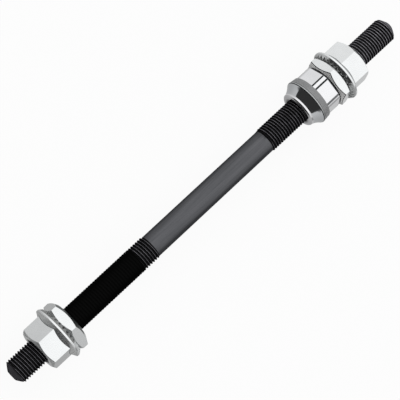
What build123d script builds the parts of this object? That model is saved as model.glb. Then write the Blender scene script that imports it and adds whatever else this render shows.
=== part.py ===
from build123d import *
import math
import os

# Bicycle hub axle with its nuts, in millimetres. The axle lies along X with its middle at the
# origin, and +Z is up. Left is -X and right is +X.

# Axle rod: a rolled thread of 24 turns to the inch at each end, and a plain shank between them
axle_length = 185.3
thread_diameter = 9.525
thread_pitch = 1.0583
left_thread_length = 65.1
right_thread_length = 64.1
tip_length = 1.9
tip_face_diameter = 4.2
tip_bulge_radius = 12.0

# Threaded pieces turn on the axle with this much room all round
thread_clearance = 0.05
# Neighbours that are screwed up against each other leave this gap
seat_gap = 0.05
# Bare thread that stands out past the axle nuts
left_stub_length = 12.05
right_stub_length = 18.5

# Axle nuts: hexagon, conical flange and a serrated face
nut_across_flats = 15.65
nut_length = 10.7
nut_face_diameter = 14.2
nut_chamfer_angle = 30
flange_diameter = 20.8
flange_rim_width = 0.7
flange_cone_angle = 30
tooth_count = 30
tooth_depth = 0.85
tooth_angle = 90
tooth_crest_diameter = 19.0
tooth_bevel_height = 1.2
dish_diameter = 13.2
dish_depth = 0.95

# Lock nuts: thin hexagons with both sides turned, the inner one more heavily
lock_nut_across_flats = 17.46
lock_nut_thickness = 4.6
lock_nut_outer_face_diameter = 16.6
lock_nut_outer_chamfer_angle = 30
lock_nut_inner_face_diameter = 14.6
lock_nut_inner_chamfer_angle = 30

# Bearing cone: nose, ball race, rim and a body with six spanner flats
cone_length = 13.7
nose_diameter = 14.1
nose_length = 1.1
nose_chamfer = 0.5
race_length = 3.4
race_depth = 0.2
rim_diameter = 18.5
rim_width = 0.75
cone_body_diameter = 17.36
cone_across_flats = 15.88

# Dust ring, pushed over the cone's body up to the rim
dust_ring_width = 2.4
dust_ring_diameter = 18.4
dust_ring_end_diameter = 17.8
dust_ring_clearance = 0.02

# Roll of one hexagon corner of each piece, in degrees from straight up, positive towards -Y
left_axle_nut_roll = -12.2
left_lock_nut_roll = 15.4
cone_roll = -13.2
right_lock_nut_roll = -10.5
right_axle_nut_roll = -10.0

thread_radius = thread_diameter / 2
bore_radius = thread_radius + thread_clearance
# A rolled thread starts from a rod of the thread's pitch diameter
shank_radius = (thread_diameter - 0.6495 * thread_pitch) / 2
thread_depth = 0.6134 * thread_pitch


def seat_at(x, outward, roll):
    """Plane across the axle at x: its Z points along the axle, its X at a hexagon corner."""
    turn = math.radians(roll)
    corner = (0, -math.sin(turn), math.cos(turn))
    return Plane(origin=(x, 0, 0), x_dir=corner, z_dir=(outward, 0, 0))


def section_of(seat):
    """Plane for a turned profile: X is the radius and Y is the height above the seat."""
    return Plane(origin=seat.origin, x_dir=seat.x_dir, z_dir=-seat.y_dir)


def turning_axis(seat):
    return Axis(seat.origin, seat.z_dir)


def face_groove(depth, angle, inner_radius, outer_radius):
    """V-shaped bar along +X that cuts one groove up into a face on XY.

    Its edge rises from inner_radius, where the groove starts, to depth at outer_radius.
    """
    length = outer_radius - inner_radius
    edge = Plane(origin=(inner_radius, 0, 0), x_dir=(0, 1, 0), z_dir=(length, 0, depth))
    height = 1.25 * depth
    half_width = height * math.tan(math.radians(angle / 2))
    with BuildPart() as groove:
        with BuildSketch(edge):
            with BuildLine():
                Polyline((0, 0), (half_width, -height), (-half_width, -height), close=True)
            make_face()
        extrude(amount=1.2 * length)
    return groove


def corner_cutter(seat, height, face_radius, angle, across_flats):
    """Ring that turns a cone on a hexagon's corners; the face is at height above the seat.

    A negative angle turns the side that faces back to the seat.
    """
    reach = across_flats - face_radius
    slope = math.tan(math.radians(angle))
    with BuildPart() as cutter:
        with BuildSketch(section_of(seat)):
            with BuildLine():
                Polyline(
                    (face_radius, height),
                    (face_radius + reach, height),
                    (face_radius + reach, height - reach * slope),
                    close=True,
                )
            make_face()
        revolve(axis=turning_axis(seat))
    return cutter


def axle_nut(seat):
    """Serrated flange nut. The seat holds the crests of its teeth, and its Z points outwards."""
    flange_radius = flange_diameter / 2
    rim_top = tooth_bevel_height + flange_rim_width
    cone_top_radius = nut_face_diameter / 2
    cone_rise = (flange_radius - cone_top_radius) * math.tan(math.radians(flange_cone_angle))
    groove = face_groove(tooth_depth, tooth_angle, dish_diameter / 2, flange_radius)
    cutter = corner_cutter(seat, nut_length, cone_top_radius, nut_chamfer_angle, nut_across_flats)
    with BuildPart() as nut:
        with BuildSketch(section_of(seat)):
            with BuildLine():
                Polyline(
                    (0, dish_depth),
                    (dish_diameter / 2, dish_depth),
                    (dish_diameter / 2, 0),
                    (tooth_crest_diameter / 2, 0),
                    (flange_radius, tooth_bevel_height),
                    (flange_radius, rim_top),
                    (cone_top_radius, rim_top + cone_rise),
                    (0, rim_top + cone_rise),
                    close=True,
                )
            make_face()
        revolve(axis=turning_axis(seat))
        with BuildSketch(seat.offset(rim_top)):
            RegularPolygon(nut_across_flats / 2, 6, major_radius=False)
        extrude(amount=nut_length - rim_top)
        add(cutter.part, mode=Mode.SUBTRACT)
        with Locations(seat):
            with PolarLocations(0, tooth_count):
                add(groove.part, mode=Mode.SUBTRACT)
        with Locations(seat.offset(nut_length)):
            CounterSinkHole(bore_radius, bore_radius + thread_depth, counter_sink_angle=90)
    return nut


def lock_nut(seat):
    """Thin hexagon nut. The seat holds its inner face, and its Z points outwards."""
    inner_cutter = corner_cutter(
        seat, 0, lock_nut_inner_face_diameter / 2, -lock_nut_inner_chamfer_angle, lock_nut_across_flats
    )
    outer_cutter = corner_cutter(
        seat,
        lock_nut_thickness,
        lock_nut_outer_face_diameter / 2,
        lock_nut_outer_chamfer_angle,
        lock_nut_across_flats,
    )
    with BuildPart() as nut:
        with BuildSketch(seat):
            RegularPolygon(lock_nut_across_flats / 2, 6, major_radius=False)
        extrude(amount=lock_nut_thickness)
        add(inner_cutter.part, mode=Mode.SUBTRACT)
        add(outer_cutter.part, mode=Mode.SUBTRACT)
        with Locations(seat):
            Hole(bore_radius)
    return nut


def bearing_cone(seat):
    """Cone that turns on the thread. The seat holds its nose, and its Z points outwards."""
    body_radius = cone_body_diameter / 2
    nose_radius = nose_diameter / 2
    rim_radius = rim_diameter / 2
    rim_start = nose_length + race_length
    ring_start = rim_start + rim_width
    flats_start = ring_start + dust_ring_width
    # The race is hollow: its middle lies race_depth under the straight line from nose to rim
    race_line = Vector(rim_radius - nose_radius, race_length)
    inward = Vector(-race_line.Y, race_line.X).normalized()
    race_pull = Vector(nose_radius, nose_length) + race_line / 2 + inward * 2 * race_depth
    with BuildPart() as cone:
        with BuildSketch(section_of(seat)) as half:
            with BuildLine():
                Bezier((rim_radius, rim_start), race_pull, (nose_radius, nose_length))
                Polyline(
                    (nose_radius, nose_length),
                    (nose_radius, 0),
                    (0, 0),
                    (0, cone_length),
                    (body_radius, cone_length),
                    (body_radius, ring_start),
                    (rim_radius, ring_start),
                    (rim_radius, rim_start),
                )
            make_face()
            chamfer(half.vertices().group_by(Axis.Y)[0].sort_by(Axis.X)[-1:], nose_chamfer)
        revolve(axis=turning_axis(seat))
        with BuildSketch(seat.offset(flats_start)):
            Circle(rim_radius + 1)
            RegularPolygon(cone_across_flats / 2, 6, major_radius=False, mode=Mode.SUBTRACT)
        extrude(amount=cone_length - flats_start, mode=Mode.SUBTRACT)
        with Locations(seat):
            Hole(bore_radius)
    return cone


def dust_ring(seat):
    """Tapered sleeve over the cone's body. The seat is the cone's."""
    inner_radius = cone_body_diameter / 2 + dust_ring_clearance
    start = nose_length + race_length + rim_width
    end = start + dust_ring_width
    with BuildPart() as ring:
        with BuildSketch(section_of(seat)):
            with BuildLine():
                Polyline(
                    (inner_radius, start),
                    (dust_ring_diameter / 2, start),
                    (dust_ring_end_diameter / 2, end),
                    (inner_radius, end),
                    close=True,
                )
            make_face()
        revolve(axis=turning_axis(seat))
    return ring


def axle_rod():
    """Rod with a domed tip at each end. The threads are plain stretches of their outer diameter."""
    end = axle_length / 2
    left_thread_end = -end + left_thread_length
    right_thread_end = end - right_thread_length
    step = thread_radius - shank_radius
    with BuildPart() as rod:
        with BuildSketch(Plane.XY):
            with BuildLine():
                Polyline((-end + tip_length, thread_radius), (left_thread_end, thread_radius))
                Polyline(
                    (left_thread_end, thread_radius),
                    (left_thread_end + step, shank_radius),
                    (right_thread_end - step, shank_radius),
                    (right_thread_end, thread_radius),
                    (end - tip_length, thread_radius),
                )
                RadiusArc((end - tip_length, thread_radius), (end, tip_face_diameter / 2), tip_bulge_radius)
                Polyline((end, tip_face_diameter / 2), (end, 0), (-end, 0), (-end, tip_face_diameter / 2))
                RadiusArc((-end, tip_face_diameter / 2), (-end + tip_length, thread_radius), tip_bulge_radius)
            make_face()
        revolve(axis=Axis.X)
    return rod


LEFT, RIGHT = -1, 1
axle_end = axle_length / 2
left_axle_nut_start = -axle_end + left_stub_length + nut_length
left_lock_nut_start = left_axle_nut_start + seat_gap + lock_nut_thickness
right_axle_nut_start = axle_end - right_stub_length - nut_length
right_lock_nut_start = right_axle_nut_start - seat_gap - lock_nut_thickness
cone_seat = seat_at(right_lock_nut_start - cone_length, RIGHT, cone_roll)

axle = axle_rod()
axle.part.label = "axle"
left_lock_nut = lock_nut(seat_at(left_lock_nut_start, LEFT, left_lock_nut_roll))
left_lock_nut.part.label = "left_lock_nut"
left_axle_nut = axle_nut(seat_at(left_axle_nut_start, LEFT, left_axle_nut_roll))
left_axle_nut.part.label = "left_axle_nut"
cone = bearing_cone(cone_seat)
cone.part.label = "cone"
cone_dust_ring = dust_ring(cone_seat)
cone_dust_ring.part.label = "cone_dust_ring"
right_lock_nut = lock_nut(seat_at(right_lock_nut_start, RIGHT, right_lock_nut_roll))
right_lock_nut.part.label = "right_lock_nut"
right_axle_nut = axle_nut(seat_at(right_axle_nut_start, RIGHT, right_axle_nut_roll))
right_axle_nut.part.label = "right_axle_nut"

os.makedirs("parts", exist_ok=True)
export_step(axle.part, "parts/axle.step")
export_step(left_lock_nut.part, "parts/left_lock_nut.step")
export_step(left_axle_nut.part, "parts/left_axle_nut.step")
export_step(cone.part, "parts/cone.step")
export_step(cone_dust_ring.part, "parts/cone_dust_ring.step")
export_step(right_lock_nut.part, "parts/right_lock_nut.step")
export_step(right_axle_nut.part, "parts/right_axle_nut.step")
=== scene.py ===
import math

import bmesh
import bpy
import numpy as np
from mathutils import Matrix, Vector
from mathutils.kdtree import KDTree


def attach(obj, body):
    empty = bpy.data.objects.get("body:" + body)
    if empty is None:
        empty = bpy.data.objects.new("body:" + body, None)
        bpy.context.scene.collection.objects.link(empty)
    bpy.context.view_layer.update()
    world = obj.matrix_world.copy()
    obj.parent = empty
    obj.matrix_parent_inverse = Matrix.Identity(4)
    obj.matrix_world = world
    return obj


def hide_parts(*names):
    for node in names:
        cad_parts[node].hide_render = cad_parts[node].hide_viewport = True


# Looks of a bicycle hub axle with its nuts and cone. Lengths are in millimetres and are turned
# into metres where Blender takes them. The axle lies along X, with its middle at the origin.
MM = 0.001

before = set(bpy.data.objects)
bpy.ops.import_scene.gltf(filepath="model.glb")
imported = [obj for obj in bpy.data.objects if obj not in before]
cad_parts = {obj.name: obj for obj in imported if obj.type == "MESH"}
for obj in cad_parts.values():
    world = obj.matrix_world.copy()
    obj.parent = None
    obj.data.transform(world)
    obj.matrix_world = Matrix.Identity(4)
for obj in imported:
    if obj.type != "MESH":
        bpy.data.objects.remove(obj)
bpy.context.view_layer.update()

# Camera: focal length and distance found from the photograph's perspective
VIEW_TILT = math.radians(13.8)
VIEW_ROLL = math.radians(42.853)
VIEW_DISTANCE = 574.0
VIEW_CENTRE = Vector((-3.28, 0.26, 0.0))
LENS = 147.6
SENSOR_WIDTH = 36.0
# Nearest and farthest distances that the camera sees, in metres
CLIP_START = 0.01
CLIP_END = 20.0

# Axle rod
AXLE_END = 92.65
TIP_LENGTH = 1.9
TIP_FACE_RADIUS = 2.1
TIP_BULGE = 0.32
CREST_RADIUS = 4.7625
SHANK_RADIUS = 4.4188
LEFT_THREAD_END = -27.55
RIGHT_THREAD_END = 28.55
PITCH = 25.4 / 24
# Shallower than the standard form's 0.6134 of the pitch, to match the photograph's softer outline
THREAD_DEPTH = 0.5 * PITCH
# Thread profile over one pitch: share of the pitch, and depth below the crest as a share
THREAD_PROFILE = (
    (0.0, 0.04),
    (0.02, 0.0),
    (0.13, 0.0),
    (0.15, 0.04),
    (0.44, 0.95),
    (0.48, 1.0),
    (0.66, 1.0),
    (0.7, 0.95),
)
# The thread fades into the shank over this share of the pitch
RUN_OUT = 0.45
# The photograph is plain black here, probably painted over. Dark grease in the thread's grooves is a
# guess, and DEPTH_LEFT is the share of their depth that it leaves, where 1 gives the whole thread back
GREASE_START = -65.5
GREASE_END = -33.7
GREASE_FADE = 1.0
DEPTH_LEFT = 0.2
# Points round the rod, and rings along its shank
AROUND = 48
SHANK_RINGS = 24
# The rod is shaded smooth over edges up to this angle, in degrees
SMOOTH_UP_TO = 35
# Slots of the rod's materials
THREAD, SHANK = range(2)

# The thread's crests are worn from the first radius on, and fully worn from the second one. A
# noise makes the wear patchy, and its value times WEAR_GAIN plus WEAR_BIAS is the crests' wear.
WORN_RADII = (4.7, 4.76)
WEAR_GAIN = 2.1
WEAR_BIAS = -0.25
# Wear that is there everywhere, how much the tips have, and the share of their length where it grows
LEAST_WEAR = 0.06
TIP_WEAR = 0.5
TIP_WEAR_LENGTH = 0.2
# Brightness of unworn and of fully worn thread, and the latter's tint
UNWORN_GREY = 0.003
WORN_GREY = 0.42
WORN_TINT = (1.0, 0.98, 1.07)
# The near black stretch starts and ends between these places along X
BLACK_START = (-66.0, -65.0)
BLACK_END = (-34.5, -34.0)
# The right end outside the nuts keeps its full wear, and the rest of the rod has this share of it
BRIGHT_FROM = (70.0, 76.0)
INNER_WEAR = 0.5
# Painted shade darkens the nuts' and the cone's faces between these distances from the axis
BORE_SHADE_RADII = (4.7, 6.0)
BORE_SHADE_DARKEST = 0.1
# Noise in the materials, in waves to the metre: slow changes and fine grain of plated metal, and
# patches of wear on the thread. The depths are those of the bumps that they make.
MOTTLE_SCALE = 220.0
GRAIN_SCALE = 2700.0
GRAIN_DEPTH = 0.02
WEAR_SCALE = 400.0
WEAR_DEPTH = 0.03
# Marks drawn along the shank are this much longer than wide
SHANK_MARKS = (60.0, 1500.0, 1500.0)
# Between these values a noise changes what it rules
NOISE_LOW = 0.3
NOISE_HIGH = 0.7

# Slots of the axle nuts' materials: flats, grooves, inner edges, turned faces, the bevel that the
# grooves cross and the flange's cone
PLAIN, GROOVE, CREASE, TURNED, BEVEL, FLANGE = range(6)
# Slots of the lock nuts' materials, after PLAIN: chamfer, chamfer with painted shade, and two of painted
# shade
CHAMFER, SHADED_CHAMFER, EDGE_DARK, EDGE_GREY = range(1, 5)
# Slots of the cone's materials, after PLAIN and before EDGE_DARK and EDGE_GREY
RACE, RIM = 1, 2

# A face whose normal has an X part between these is neither along the axle nor across it
SLOPED = (0.1, 0.95)
# Where the axle nuts' serrated faces lie
LEFT_NUT_CREST = -69.9
RIGHT_NUT_CREST = 63.45
# Distances outwards from there: the bevel's end, the edges that the grooves cut, the end's chamfer
BEVEL_END = 1.15
SERRATION_END = 0.6
END_CHAMFER_START = 8.0
# A face that leans this much round the axle is a groove's wall
GROOVE_WALL = 0.3
# Below this Y the serrations and the left lock nut's inner chamfer carry no painted shade
UNSHADED_BELOW = -6.2
# The right lock nut's inner chamfer has painted shade up to here, and edges of painted shade bound it up to
# there
DARK_CHAMFER = 59.3
CHAMFER_EDGES = (58.85, 60.5)

# The cone along X: its race, the end of its rim and of the turned face that the ring covers, and
# where painted shade starts on its outer end
RACE_START = 46.2
RACE_END = 49.6
RIM_END = 52.7
DARK_END = 58.55
# Faces of the race have their middle inside the first radius, those of the rim outside the second
# one, and the outer end has painted shade outside the third one
RACE_RADIUS = 9.2
RIM_INNER_RADIUS = 9.0
END_INNER_RADIUS = 6.0
# An edge that borders on a part lies up to this far from it
EDGE_SLACK = 0.1
# Its six flats: where they start along X, the middle of one land between them, in degrees about
# the axle, and which edges of the lands carry painted shade, as angles from that middle with their slots
FLATS_START = 52.75
LAND_ANGLE = 13.2
LAND_HALF = 6.16
DARK_EDGES = ((-LAND_HALF, EDGE_DARK), (LAND_HALF, EDGE_DARK), (LAND_HALF - 60, EDGE_GREY))
# The flats are cut this far from a land's edge, and faces whose middle is this near carry painted shade
STRIP_CUT = 2.2
EDGE_STRIP = 2.3

# Widths of the roundings
NUT_ROUNDING = 0.1
LEFT_LOCK_ROUNDING = 0.12
RIGHT_LOCK_ROUNDING = 0.18
CONE_ROUNDING = 0.17
# Edges sharper than this angle, in degrees, are rounded, and faces that differ by less than
# FLAT_WITHIN are joined before
SHARP_FROM = 18
FLAT_WITHIN = 0.8
# Places along an edge that are looked up for the slot of its rounding
EDGE_MARKS = (0.2, 0.5, 0.8)
# Points that lie closer than this, in metres, are one
MERGE_DISTANCE = 2e-7
LEAST_DISTANCE = 1e-7

# Light from the surround. Its brightness by the height of a direction, from -1 straight down to 1
# straight up, is multiplied by a share for how far the direction lies to the left, -1, or right, 1.
SKY_SCALE = 1.25
SKY_BY_HEIGHT = (
    (-1.0, 0.58),
    (-0.5, 0.72),
    (-0.15, 0.85),
    (0.0, 0.9),
    (0.16, 0.94),
    (0.3, 1.02),
    (0.5, 1.14),
    (0.7, 1.17),
    (1.0, 1.17),
)
SHARE_BY_SIDE = ((-1.0, 0.64), (-0.2, 0.64), (0.0, 0.69), (0.12, 0.73), (0.35, 1.0), (1.0, 1.0))
# That share counts less and less from the second height up to the first
SIDE_FADE = (0.8, 0.35)
# A darker strip below the horizon, as a share of the sky. It is on the -Y side, where it fades in
# between two values of y, and on the right, where it fades in between two values of x.
STRIP_BY_HEIGHT = ((-0.6, 1.0), (-0.45, 0.45), (-0.15, 0.45), (-0.04, 1.0))
STRIP_FADE_Y = (-0.4, -0.8)
STRIP_FADE_X = (-0.1, 0.1)
# The dark side at the left. Above the horizon it starts at x = DARK_HIGH, and below it at
# x = DARK_LOW, and it changes from one to the other between two heights.
DARK_BY_HEIGHT = ((-1.0, 0.58), (-0.5, 0.46), (-0.25, 0.34), (-0.12, 0.26), (0.02, 0.06), (0.12, 0.015))
DARK_HIGH = -0.26
DARK_LOW = -0.62
DARK_TURN = (0.05, 0.4)
DARK_BLUR = 0.05
# Share of plain white in what glossy rays see
WHITE_IN_GLOSS = 0.02

# Floor: its height, its size in metres, its colour, and how much of it the camera sees as white
FLOOR_Z = -10.4
FLOOR_SIZE = 6.0
FLOOR_GREY = 0.95
FLOOR_WHITE = 0.93


def smooth_step(t):
    t = np.clip(t, 0, 1)
    return t * t * (3 - 2 * t)


def make_mesh(name, verts, faces, materials, face_slots):
    """Mesh object from points in millimetres, smooth apart from edges sharper than SMOOTH_UP_TO."""
    mesh = bpy.data.meshes.new(name)
    mesh.from_pydata([tuple(c * MM for c in v) for v in verts], [], faces)
    for material in materials:
        mesh.materials.append(material)
    mesh.polygons.foreach_set("material_index", face_slots)
    bm = bmesh.new()
    bm.from_mesh(mesh)
    bmesh.ops.remove_doubles(bm, verts=bm.verts, dist=MERGE_DISTANCE)
    bmesh.ops.dissolve_degenerate(bm, edges=bm.edges, dist=LEAST_DISTANCE)
    bmesh.ops.recalc_face_normals(bm, faces=bm.faces)
    bm.to_mesh(mesh)
    bm.free()
    mesh.shade_smooth()
    mesh.set_sharp_from_angle(angle=math.radians(SMOOTH_UP_TO))
    mesh.validate()
    return link_object(name, mesh)


def link_object(name, data):
    obj = bpy.data.objects.new(name, data)
    bpy.context.scene.collection.objects.link(obj)
    return obj


def tip_radius(x):
    """Radius of the rod's domed tips at distance x from the middle."""
    t = np.clip((AXLE_END - np.abs(x)) / TIP_LENGTH, 0, 1)
    return TIP_FACE_RADIUS + (CREST_RADIUS - TIP_FACE_RADIUS) * t + TIP_BULGE * t * (1 - t)


def groove_depth(x):
    """Depth of the thread's grooves at distance x from the middle."""
    packed = smooth_step((x - GREASE_START) / GREASE_FADE) * smooth_step((GREASE_END - x) / GREASE_FADE)
    return THREAD_DEPTH * (1 - (1 - DEPTH_LEFT) * float(packed))


def axle_rod(materials):
    """Rod with a right-handed helical thread at each end, a plain shank and two tips."""
    verts, faces, slots = [], [], []

    def helix(x_low, x_high, shank_end):
        first = len(verts)
        width = len(THREAD_PROFILE)
        turns = int((x_high - x_low) / PITCH) + 3
        steps = turns * AROUND
        start = math.floor(x_low / PITCH - 1) * PITCH
        for step in range(steps):
            angle = 2 * math.pi * step / AROUND
            for share, depth in THREAD_PROFILE:
                x = start + (step / AROUND + share) * PITCH
                x = min(max(x, x_low), x_high)
                r = CREST_RADIUS - depth * groove_depth(x)
                left = abs(x - shank_end)
                fade = float(smooth_step(left / (RUN_OUT * PITCH)))
                r = SHANK_RADIUS + (r - SHANK_RADIUS) * fade
                r = min(r, float(tip_radius(x)))
                verts.append((x, r * math.cos(angle), r * math.sin(angle)))
        for step in range(steps - 1):
            for i in range(width):
                a = first + step * width + i
                b = a + 1 if i < width - 1 else a + 1 + (AROUND - 1) * width
                if i == width - 1 and step + AROUND + 1 >= steps:
                    continue
                c = b + width
                d = a + width
                faces.append((a, d, c, b))
                slots.append(THREAD)

    def add_ring(x, r):
        first = len(verts)
        for j in range(AROUND):
            angle = 2 * math.pi * j / AROUND
            verts.append((x, r * math.cos(angle), r * math.sin(angle)))
        return first

    helix(-AXLE_END, LEFT_THREAD_END, LEFT_THREAD_END)
    helix(RIGHT_THREAD_END, AXLE_END, RIGHT_THREAD_END)
    rings = [add_ring(x, SHANK_RADIUS) for x in np.linspace(LEFT_THREAD_END, RIGHT_THREAD_END, SHANK_RINGS)]
    for r0, r1 in zip(rings, rings[1:]):
        for j in range(AROUND):
            k = (j + 1) % AROUND
            faces.append((r0 + j, r1 + j, r1 + k, r0 + k))
            slots.append(SHANK)
    for side in (-1, 1):
        first = add_ring(side * AXLE_END, TIP_FACE_RADIUS)
        faces.append(tuple(range(first, first + AROUND)))
        slots.append(THREAD)
    return make_mesh("axle_threaded", verts, faces, materials, slots)


class Nodes:
    """Short way to write a material's or the world's node tree."""

    def __init__(self, owner):
        owner.use_nodes = True
        self.tree = owner.node_tree
        self.tree.nodes.clear()

    def add(self, kind, inputs=None, **settings):
        node = self.tree.nodes.new(kind)
        for key, value in settings.items():
            setattr(node, key, value)
        for key, value in (inputs or {}).items():
            if isinstance(value, bpy.types.NodeSocket):
                self.tree.links.new(value, node.inputs[key])
            else:
                node.inputs[key].default_value = value
        return node

    def math(self, operation, a, b=0.0, clamp=False):
        node = self.add("ShaderNodeMath", {0: a, 1: b}, operation=operation)
        node.use_clamp = clamp
        return node.outputs[0]

    def spread(self, value, start, end, low=0.0, high=1.0, **settings):
        """Value that goes from low to high while the given one goes from start to end."""
        inputs = {"Value": value, "From Min": start, "From Max": end, "To Min": low, "To Max": high}
        return self.add("ShaderNodeMapRange", inputs, **settings).outputs["Result"]

    def along(self, value, places, low=0.0, high=1.0, **settings):
        """As spread, between two places in millimetres."""
        return self.spread(value, places[0] * MM, places[1] * MM, low, high, **settings)

    def noise(self, place, scale, detail):
        inputs = {"Vector": place, "Scale": scale, "Detail": detail}
        return self.add("ShaderNodeTexNoise", inputs).outputs["Fac"]

    def bump(self, height, strength, distance):
        inputs = {"Height": height, "Strength": strength, "Distance": distance * MM}
        return self.add("ShaderNodeBump", inputs).outputs["Normal"]

    def mix(self, factor, a, b, blend_type="MIX"):
        inputs = {"Factor": factor, "A": a, "B": b}
        return self.add("ShaderNodeMix", inputs, data_type="RGBA", blend_type=blend_type).outputs["Result"]

    def ramp(self, fac, stops):
        node = self.add("ShaderNodeValToRGB", {"Fac": fac})
        elements = node.color_ramp.elements
        while len(elements) > 1:
            elements.remove(elements[-1])
        elements[0].position, elements[0].color = stops[0][0], (*stops[0][1], 1)
        for place, colour in stops[1:]:
            elements.new(place).color = (*colour, 1)
        return node.outputs["Color"]

    def surface(self, inputs):
        shader = self.add("ShaderNodeBsdfPrincipled", inputs)
        self.add("ShaderNodeOutputMaterial", {"Surface": shader.outputs[0]})


def grey(v, tint=(1.0, 1.0, 1.0)):
    return tuple(v * c for c in tint)


def level_stops(levels, top=1.0):
    """Ramp stops for brightness levels up to top, against a value from -1 to 1."""
    return [((place + 1) / 2, grey(level / top)) for place, level in levels]


def radius_of(n, place):
    """Distance of a place from the axle's axis."""
    x, y, z = n.add("ShaderNodeSeparateXYZ", {"Vector": place}).outputs
    return n.math("SQRT", n.math("ADD", n.math("MULTIPLY", y, y), n.math("MULTIPLY", z, z)))


def plated_metal(name, colour, roughness, grain=0.01, mottle=0.05, metallic=1.0):
    """Bright metal with slow changes of tone and gloss, fine grain, and painted shade close to the thread.
    """
    material = bpy.data.materials.new(name)
    n = Nodes(material)
    place = n.add("ShaderNodeTexCoord").outputs["Object"]
    slow = n.noise(place, MOTTLE_SCALE, 3.0)
    fine = n.noise(place, GRAIN_SCALE, 2.0)
    rough = n.spread(slow, NOISE_LOW, NOISE_HIGH, roughness * 0.85, roughness * 1.2)
    tone = n.ramp(slow, ((NOISE_LOW, grey(1 - mottle, colour)), (NOISE_HIGH, colour)))
    # Painted shade close to the thread, where the faces meet it
    unshaded = n.along(radius_of(n, place), BORE_SHADE_RADII, BORE_SHADE_DARKEST, interpolation_type="SMOOTHSTEP")
    tone = n.mix(1.0, tone, unshaded, "MULTIPLY")
    bump = n.bump(fine, grain, GRAIN_DEPTH)
    n.surface({"Base Color": tone, "Metallic": metallic, "Roughness": rough, "Normal": bump})
    return material


def black_oxide(name):
    """Blackened thread: dark in the grooves, with worn crests that catch the light."""
    material = bpy.data.materials.new(name)
    n = Nodes(material)
    place = n.add("ShaderNodeTexCoord").outputs["Object"]
    slow = n.noise(place, WEAR_SCALE, 4.0)
    x = n.add("ShaderNodeSeparateXYZ", {"Vector": place}).outputs[0]
    crest = n.along(radius_of(n, place), WORN_RADII)
    patches = n.math("ADD", WEAR_BIAS, n.math("MULTIPLY", slow, WEAR_GAIN))
    worn = n.math("MULTIPLY", crest, patches, clamp=True)
    tip_places = (AXLE_END - TIP_LENGTH, AXLE_END - (1 - TIP_WEAR_LENGTH) * TIP_LENGTH)
    tip = n.along(n.math("ABSOLUTE", x), tip_places, high=TIP_WEAR)
    worn = n.math("MAXIMUM", worn, tip)
    dry = n.math("MAXIMUM", n.along(x, BLACK_END), n.along(x, BLACK_START, 1.0, 0.0))
    worn = n.math("MULTIPLY", n.math("MAXIMUM", worn, LEAST_WEAR), dry)
    worn = n.math("MULTIPLY", worn, n.along(x, BRIGHT_FROM, INNER_WEAR))
    n.surface(
        {
            "Base Color": n.ramp(worn, ((0.0, grey(UNWORN_GREY)), (1.0, grey(WORN_GREY, WORN_TINT)))),
            "Metallic": 0.9,
            "Roughness": 0.42,
            "Specular IOR Level": 0.1,
            "Specular Tint": (0.15, 0.15, 0.15, 1),
            "Normal": n.bump(slow, 0.15, WEAR_DEPTH),
        }
    )
    return material


def dark_shank(name):
    """Plain dark rod with fine marks drawn along it."""
    material = bpy.data.materials.new(name)
    n = Nodes(material)
    place = n.add("ShaderNodeTexCoord").outputs["Object"]
    stretched = n.add("ShaderNodeMapping", {"Vector": place, "Scale": SHANK_MARKS})
    lines = n.noise(stretched.outputs["Vector"], 1.0, 3.0)
    dark, light = grey(0.088, (0.95, 0.98, 1.05)), grey(0.118, (0.98, 0.99, 1.06))
    n.surface(
        {
            "Base Color": n.ramp(lines, ((NOISE_LOW, dark), (NOISE_HIGH, light))),
            "Metallic": 0.95,
            "Roughness": 0.3,
            "Specular Tint": (0.3, 0.3, 0.3, 1),
            "Normal": n.bump(lines, 0.1, GRAIN_DEPTH),
        }
    )
    return material


def studio():
    """White surround that dims towards the horizon, with its dark side at the left."""
    world = bpy.data.worlds.new("studio")
    bpy.context.scene.world = world
    n = Nodes(world)
    way = n.add("ShaderNodeTexCoord").outputs["Generated"]
    x, y, z = n.add("ShaderNodeSeparateXYZ", {"Vector": way}).outputs
    across, up = (n.spread(v, -1.0, 1.0) for v in (x, z))
    sky = n.ramp(up, level_stops(SKY_BY_HEIGHT, SKY_SCALE))
    side = n.ramp(across, level_stops(SHARE_BY_SIDE))
    open_sky = n.mix(n.spread(z, *SIDE_FADE), sky, side, "MULTIPLY")
    dark = n.ramp(up, level_stops(DARK_BY_HEIGHT, SKY_SCALE))
    near = n.math("MULTIPLY", n.spread(y, *STRIP_FADE_Y), n.spread(x, *STRIP_FADE_X))
    near_sky = n.mix(near, open_sky, n.ramp(up, level_stops(STRIP_BY_HEIGHT)), "MULTIPLY")
    bound = n.spread(z, *DARK_TURN, DARK_LOW, DARK_HIGH, interpolation_type="SMOOTHSTEP")
    past = n.math("SUBTRACT", x, bound)
    shaded = n.spread(past, DARK_BLUR, -DARK_BLUR, interpolation_type="SMOOTHSTEP")
    around = n.mix(shaded, near_sky, dark)
    lit = n.add("ShaderNodeBackground", {"Color": around, "Strength": SKY_SCALE})
    seen = n.add("ShaderNodeBackground", {"Color": (1, 1, 1, 1), "Strength": 1.0})
    rays = n.add("ShaderNodeLightPath").outputs
    share = n.math("ADD", rays["Is Camera Ray"], n.math("MULTIPLY", rays["Is Glossy Ray"], WHITE_IN_GLOSS))
    mixed = n.add("ShaderNodeMixShader", {0: share, 1: lit.outputs[0], 2: seen.outputs[0]})
    n.add("ShaderNodeOutputWorld", {"Surface": mixed.outputs[0]})


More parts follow.
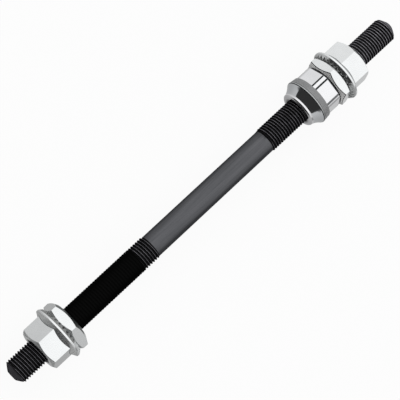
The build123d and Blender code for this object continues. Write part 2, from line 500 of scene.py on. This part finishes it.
def floor():
    """Pale floor. It stays out of reflections, where the surround below the horizon stands for it."""
    bpy.ops.mesh.primitive_plane_add(size=FLOOR_SIZE, location=(0, 0, FLOOR_Z * MM))
    plane = bpy.context.active_object
    plane.name = "floor"
    material = bpy.data.materials.new("floor_white")
    n = Nodes(material)
    matt = n.add("ShaderNodeBsdfDiffuse", {"Color": (*grey(FLOOR_GREY), 1)})
    seen = n.add("ShaderNodeEmission", {"Color": (1, 1, 1, 1), "Strength": 1.0})
    rays = n.add("ShaderNodeLightPath").outputs
    share = n.math("MULTIPLY", rays["Is Camera Ray"], FLOOR_WHITE)
    mixed = n.add("ShaderNodeMixShader", {0: share, 1: matt.outputs[0], 2: seen.outputs[0]})
    n.add("ShaderNodeOutputMaterial", {"Surface": mixed.outputs[0]})
    plane.data.materials.append(material)
    plane.visible_glossy = False


def camera():
    towards = Vector((-math.sin(VIEW_TILT), 0, math.cos(VIEW_TILT)))
    along = Vector((1, 0, 0)) - towards * towards.x
    along.normalize()
    across = towards.cross(along)
    right = along * math.cos(VIEW_ROLL) - across * math.sin(VIEW_ROLL)
    up = along * math.sin(VIEW_ROLL) + across * math.cos(VIEW_ROLL)
    data = bpy.data.cameras.new("camera")
    data.lens = LENS
    data.sensor_width = SENSOR_WIDTH
    data.clip_start = CLIP_START
    data.clip_end = CLIP_END
    obj = link_object("camera", data)
    turn = Matrix((right, up, towards)).transposed().to_4x4()
    obj.matrix_world = Matrix.Translation((VIEW_CENTRE + towards * VIEW_DISTANCE) * MM) @ turn
    bpy.context.scene.camera = obj


def is_sloped(normal):
    return SLOPED[0] < abs(normal.x) < SLOPED[1]


def nut_slots(crest, outward):
    """Slots of an axle nut's faces, whose serrated face lies at x = crest."""

    def slot_of(centre, normal):
        depth = (centre.x - crest) * outward
        around = Vector((0, -centre.z, centre.y)).normalized()
        if depth < BEVEL_END:
            if centre.y < UNSHADED_BELOW:
                return TURNED
            if abs(normal.dot(around)) > GROOVE_WALL:
                return GROOVE
            return BEVEL if is_sloped(normal) else PLAIN
        if not is_sloped(normal):
            return PLAIN
        return TURNED if depth > END_CHAMFER_START else FLANGE

    return slot_of


def nut_edge_slots(crest, outward):
    """Slots of an axle nut's roundings, whose serrated face lies at x = crest."""

    def slot_of(centre, inner):
        if inner:
            return CREASE
        if (centre.x - crest) * outward > SERRATION_END:
            return PLAIN
        return TURNED if centre.y < UNSHADED_BELOW else GROOVE

    return slot_of


def lock_slots(centre, normal):
    """Slots of a lock nut's faces. Their inner chamfers partly carry painted shade."""
    if not is_sloped(normal):
        return PLAIN
    if centre.x < 0:
        return SHADED_CHAMFER if normal.x > 0 and centre.y > UNSHADED_BELOW else CHAMFER
    return EDGE_GREY if centre.x < DARK_CHAMFER else CHAMFER


def plain_edge_slots(centre, inner):
    return PLAIN


def right_lock_edge_slots(centre, inner):
    """Slots of the right lock nut's roundings, with painted shade where its inner chamfer meets its flats.
    """
    return EDGE_DARK if CHAMFER_EDGES[0] < centre.x < CHAMFER_EDGES[1] else PLAIN


def flat_slot(place):
    """Slot at a place on the cone's flats or lands: the slot of painted shade near a dark edge, and
    otherwise plain.
    """
    angle = math.degrees(math.atan2(place.y, place.z)) - LAND_ANGLE
    for edge, slot in DARK_EDGES:
        if abs((angle - edge + 60) % 120 - 60) < EDGE_STRIP:
            return slot
    return PLAIN


def cone_slots(centre, normal):
    """Slots of the cone's faces."""
    radius = math.hypot(centre.y, centre.z)
    if FLATS_START < centre.x < DARK_END and abs(normal.x) < SLOPED[0]:
        return flat_slot(centre)
    if RACE_START < centre.x < RACE_END and radius < RACE_RADIUS:
        return RACE
    if RACE_END < centre.x < RIM_END and radius > RIM_INNER_RADIUS:
        return RIM
    # The cone's outer end carries painted shade
    return EDGE_GREY if centre.x > DARK_END and radius > END_INNER_RADIUS else PLAIN


def cone_edge_slots(centre, inner):
    """Slots of the cone's roundings."""
    # Roundings near the lands' dark edges, at the outer end and from the race's end on carry painted shade
    if FLATS_START + EDGE_SLACK < centre.x < DARK_END:
        return flat_slot(centre)
    if centre.x > DARK_END:
        return EDGE_GREY
    return EDGE_DARK if centre.x > RACE_END - EDGE_SLACK else PLAIN


def rounded_copy(node, name, materials, slot_of, edge_slot_of, width, cuts=(), turned_cuts=()):
    """Copy of a CAD node's mesh with its sharp edges rounded, which stands for the node.

    slot_of gives a face's material slot from its centre, in millimetres, and its normal.
    edge_slot_of gives a rounding's slot from its edge's centre and whether it is an inner edge.
    cuts are places along X where faces are cut across, so that their parts can differ in slot.
    turned_cuts are the angles, in degrees, of such cuts through the axis, from FLATS_START on.
    """
    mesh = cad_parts[node].data.copy()
    mesh.name = name
    mesh.materials.clear()
    for material in materials:
        mesh.materials.append(material)
    bm = bmesh.new()
    bm.from_mesh(mesh)
    for face in bm.faces:
        face.material_index = PLAIN
    bmesh.ops.remove_doubles(bm, verts=bm.verts, dist=MERGE_DISTANCE)
    bmesh.ops.dissolve_limit(bm, angle_limit=math.radians(FLAT_WITHIN), verts=bm.verts, edges=bm.edges)
    for x in cuts:
        parts = bm.verts[:] + bm.edges[:] + bm.faces[:]
        place = (x * MM, 0, 0)
        bmesh.ops.bisect_plane(bm, geom=parts, dist=LEAST_DISTANCE, plane_co=place, plane_no=(1, 0, 0))
    for angle in turned_cuts:
        faces = [face for face in bm.faces if face.calc_center_median().x > FLATS_START * MM]
        edges = dict.fromkeys(edge for face in faces for edge in face.edges)
        verts = dict.fromkeys(vert for face in faces for vert in face.verts)
        across = (0, math.cos(math.radians(angle)), -math.sin(math.radians(angle)))
        parts = [*faces, *edges, *verts]
        bmesh.ops.bisect_plane(bm, geom=parts, dist=LEAST_DISTANCE, plane_co=(0, 0, 0), plane_no=across)
    for face in bm.faces:
        face.material_index = slot_of(face.calc_center_median() / MM, face.normal)
    sharp = [
        edge
        for edge in bm.edges
        if len(edge.link_faces) == 2 and edge.calc_face_angle() > math.radians(SHARP_FROM)
    ]
    marks = []
    for edge in sharp:
        a, b = (vert.co / MM for vert in edge.verts)
        slot = edge_slot_of((a + b) / 2, edge.calc_face_angle_signed() < 0)
        marks += [(a.lerp(b, share), slot) for share in EDGE_MARKS]
    nearest = KDTree(len(marks))
    for i, (place, slot) in enumerate(marks):
        nearest.insert(place, i)
    nearest.balance()
    result = bmesh.ops.bevel(
        bm, geom=sharp, offset=width * MM, segments=2, profile=0.5, affect="EDGES", clamp_overlap=False
    )
    for face in result["faces"]:
        place, i, distance = nearest.find(face.calc_center_median() / MM)
        face.material_index = marks[i][1]
    for face in bm.faces:
        face.smooth = True
    bm.to_mesh(mesh)
    bm.free()
    obj = link_object(name, mesh)
    weigh = obj.modifiers.new("weigh", "WEIGHTED_NORMAL")
    weigh.mode = "FACE_AREA"
    weigh.keep_sharp = False
    return obj


studio()
floor()
camera()
bpy.context.scene.view_settings.view_transform = "Standard"

thread_black = black_oxide("thread_black")
shank_grey = dark_shank("shank_grey")
nut_plating = plated_metal("nut_plating", (0.8, 0.815, 0.82), 0.16)
# Painted shade in the serrations' grooves
groove_shade = plated_metal("groove_shade", (0.42, 0.425, 0.42), 0.5, mottle=0.2)
# Painted shade in the nuts' inner edges and on the left lock nut's inner chamfer
crease_shade = plated_metal("crease_shade", (0.12, 0.13, 0.13), 0.4, mottle=0.3)
# Painted shade along the cone's lands and race and along the right lock nut's chamfer edges
painted_edge_shade = plated_metal("painted_edge_shade", (0.035, 0.04, 0.04), 0.4, mottle=0.2)
# Near white matt chamfer of the right lock nut, a painted highlight
chamfer_painted_highlight = plated_metal("chamfer_painted_highlight", (0.95, 0.955, 0.95), 0.5, metallic=0.1)
flange_satin = plated_metal("flange_satin", (0.74, 0.75, 0.745), 0.3, metallic=0.8)
# The right axle nut's flange is a darker copy of the left one's, painted shade
flange_painted_shade = plated_metal("flange_painted_shade", (0.32, 0.33, 0.33), 0.35, metallic=0.8)
# Grey painted shade on the cone's outer end and on the right lock nut's inner chamfer
painted_grey_shade = plated_metal("painted_grey_shade", (0.2, 0.205, 0.21), 0.4, mottle=0.2)
turned_steel = plated_metal("turned_steel", (0.6, 0.615, 0.615), 0.42, metallic=0.55)
# Painted shade on the left axle nut's serrated bevel
bevel_painted_shade = plated_metal("bevel_painted_shade", (0.3, 0.305, 0.3), 0.5, mottle=0.2)
cone_rim = plated_metal("cone_rim", (0.42, 0.43, 0.435), 0.35)
cone_steel = plated_metal("cone_steel", (0.8, 0.805, 0.82), 0.12)
cone_race = plated_metal("cone_race", (0.76, 0.78, 0.8), 0.1)
ring_steel = plated_metal("ring_steel", (0.32, 0.325, 0.33), 0.5, grain=0.2, mottle=0.25, metallic=0.5)

rod = axle_rod([thread_black, shank_grey])
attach(rod, "axle")
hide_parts("axle")

# Each rounded piece: its node, body, name and materials, how slots are given to its faces and
# roundings, the roundings' width, and its cuts
flat_cuts = [LAND_ANGLE + 60 * k + side * (LAND_HALF + STRIP_CUT) for k in range(3) for side in (-1, 1)]
for node, body, name, materials, slot_of, edge_slot_of, width, cuts, turned_cuts in (
    (
        "left_axle_nut",
        "left_axle_nut",
        "left_nut_finished",
        (nut_plating, groove_shade, crease_shade, turned_steel, bevel_painted_shade, flange_satin),
        nut_slots(LEFT_NUT_CREST, -1),
        nut_edge_slots(LEFT_NUT_CREST, -1),
        NUT_ROUNDING,
        (),
        (),
    ),
    (
        "right_axle_nut",
        "right_axle_nut",
        "right_nut_finished",
        (nut_plating, groove_shade, crease_shade, turned_steel, nut_plating, flange_painted_shade),
        nut_slots(RIGHT_NUT_CREST, 1),
        nut_edge_slots(RIGHT_NUT_CREST, 1),
        NUT_ROUNDING,
        (),
        (),
    ),
    (
        "left_lock_nut",
        "left_lock_nut",
        "left_lock_finished",
        (nut_plating, turned_steel, crease_shade),
        lock_slots,
        plain_edge_slots,
        LEFT_LOCK_ROUNDING,
        (),
        (),
    ),
    (
        "right_lock_nut",
        "axle",
        "right_lock_finished",
        (nut_plating, chamfer_painted_highlight, crease_shade, painted_edge_shade, painted_grey_shade),
        lock_slots,
        right_lock_edge_slots,
        RIGHT_LOCK_ROUNDING,
        (DARK_CHAMFER,),
        (),
    ),
    (
        "cone",
        "cone",
        "cone_finished",
        (cone_steel, cone_race, cone_rim, painted_edge_shade, painted_grey_shade),
        cone_slots,
        cone_edge_slots,
        CONE_ROUNDING,
        (DARK_END,),
        flat_cuts,
    ),
):
    piece = rounded_copy(node, name, materials, slot_of, edge_slot_of, width, cuts, turned_cuts)
    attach(piece, body)
    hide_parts(node)

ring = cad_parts["cone_dust_ring"]
ring.data.materials.clear()
ring.data.materials.append(ring_steel)
